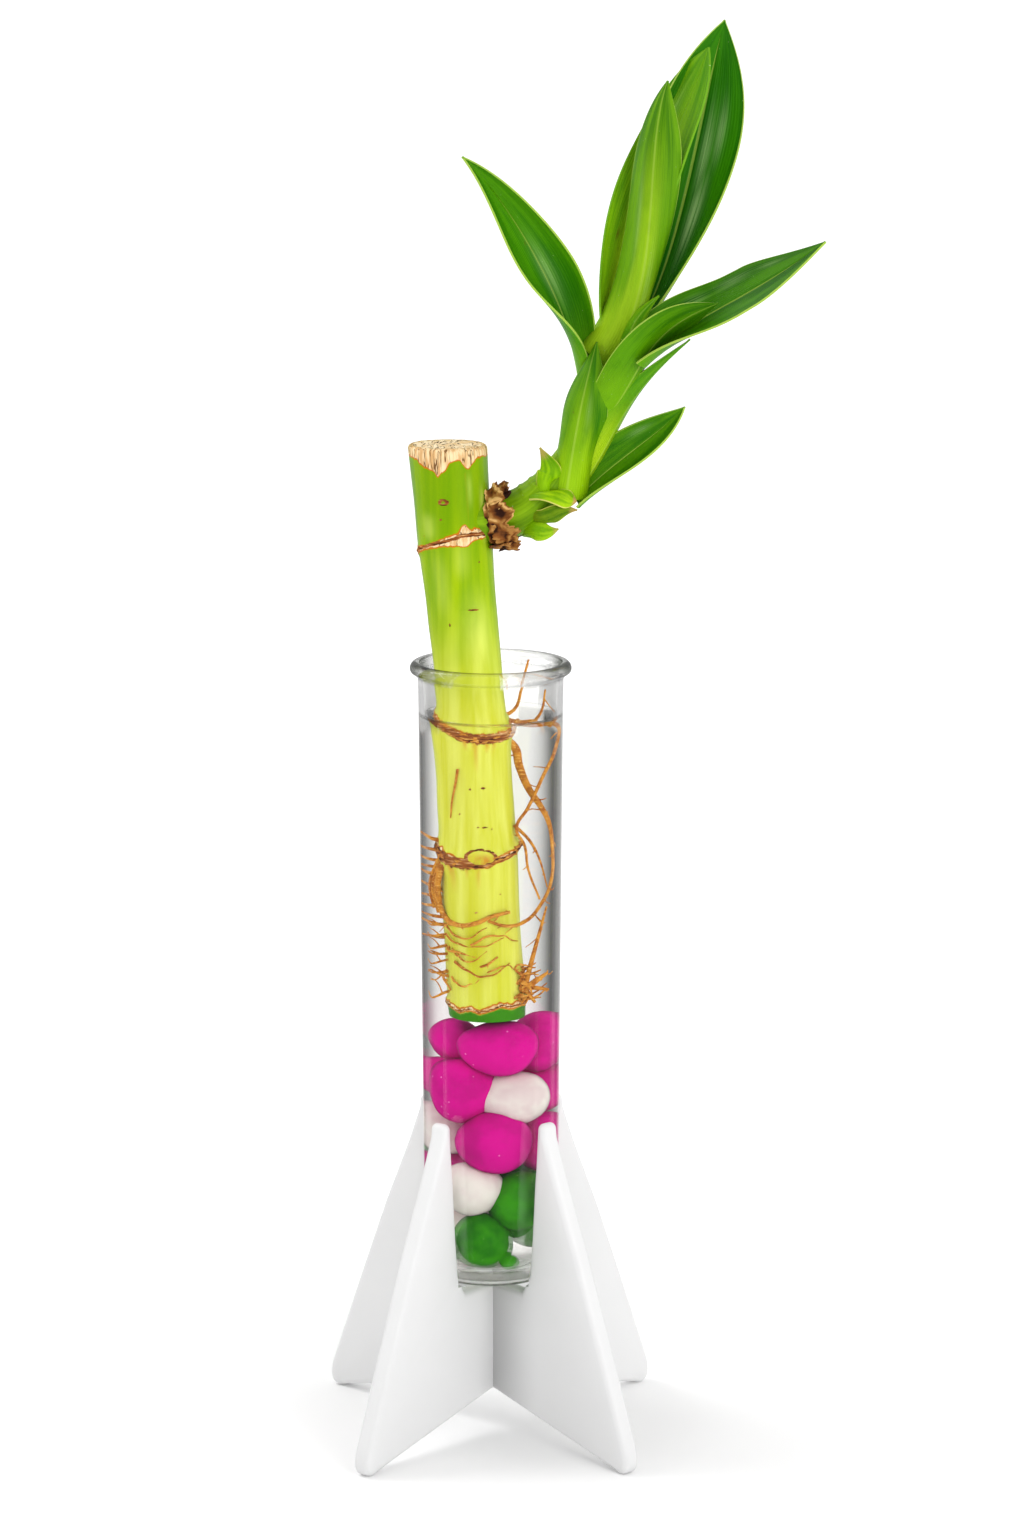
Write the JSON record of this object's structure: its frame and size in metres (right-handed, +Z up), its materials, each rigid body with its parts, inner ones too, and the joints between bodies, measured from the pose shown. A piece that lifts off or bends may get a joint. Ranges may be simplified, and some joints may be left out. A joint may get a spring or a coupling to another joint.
{
  "type": "lucky bamboo in a glass tube vase",
  "caption": "Lucky bamboo cane with one leafy side shoot, rooted among coloured pebbles in a water-filled glass tube that rests in a white stand with fins.",
  "frame": {"origin": "Centre of the bounding box in plan, on the floor that the four feet stand on.", "axes": "+Z is up along the glass tube. -Y is the side seen in the picture. +X is to the right of it, the side that the leaves reach to."},
  "size_m": [0.1026, 0.0672, 0.2942],
  "materials": {
    "white_plastic": "satin moulded white",
    "clear_glass": "clear and polished",
    "clear_water": "clear and still",
    "cane_green": "smooth living green cane with brown scars and orange roots",
    "leaf_green": "waxy fresh leaf, satin",
    "leaf_light": "waxy fresh light leaf, satin",
    "dry_brown": "dry papery husk",
    "stone_magenta": "dyed matte",
    "stone_white": "dyed matte",
    "stone_green": "dyed matte"
  },
  "bodies": {
    "root": {"stand": "white_plastic", "glass_tube": "clear_glass", "cane": "cane_green", "pebble_01_magenta": "stone_magenta", "pebble_02_magenta": "stone_magenta", "pebble_03_magenta": "stone_magenta", "pebble_04_magenta": "stone_magenta", "pebble_05_white": "stone_white", "pebble_06_magenta": "stone_magenta", "pebble_07_magenta": "stone_magenta", "pebble_08_magenta": "stone_magenta", "pebble_09_magenta": "stone_magenta", "pebble_10_white": "stone_white", "pebble_11_white": "stone_white", "pebble_12_green": "stone_green", "pebble_13_magenta": "stone_magenta", "pebble_14_green": "stone_green", "pebble_15_green": "stone_green", "pebble_16_green": "stone_green", "pebble_17_green": "stone_green", "pebble_18_white": "stone_white", "water": "clear_water", "scale_top": "leaf_light", "scale_collar": "leaf_light", "scale_middle": "leaf_light", "scale_bottom": "leaf_light", "leaf_front": "leaf_light", "leaf_right_middle": "leaf_light", "leaf_right_sheath": "leaf_light", "leaf_inner_sheath": "leaf_green", "leaf_top_front": "leaf_light", "leaf_left": "leaf_green", "leaf_right_upper": "leaf_green", "leaf_right_lower": "leaf_green", "leaf_top_middle": "leaf_green", "leaf_top_back": "leaf_green", "dry_sheath": "dry_brown"}
  },
  "joints": []
}
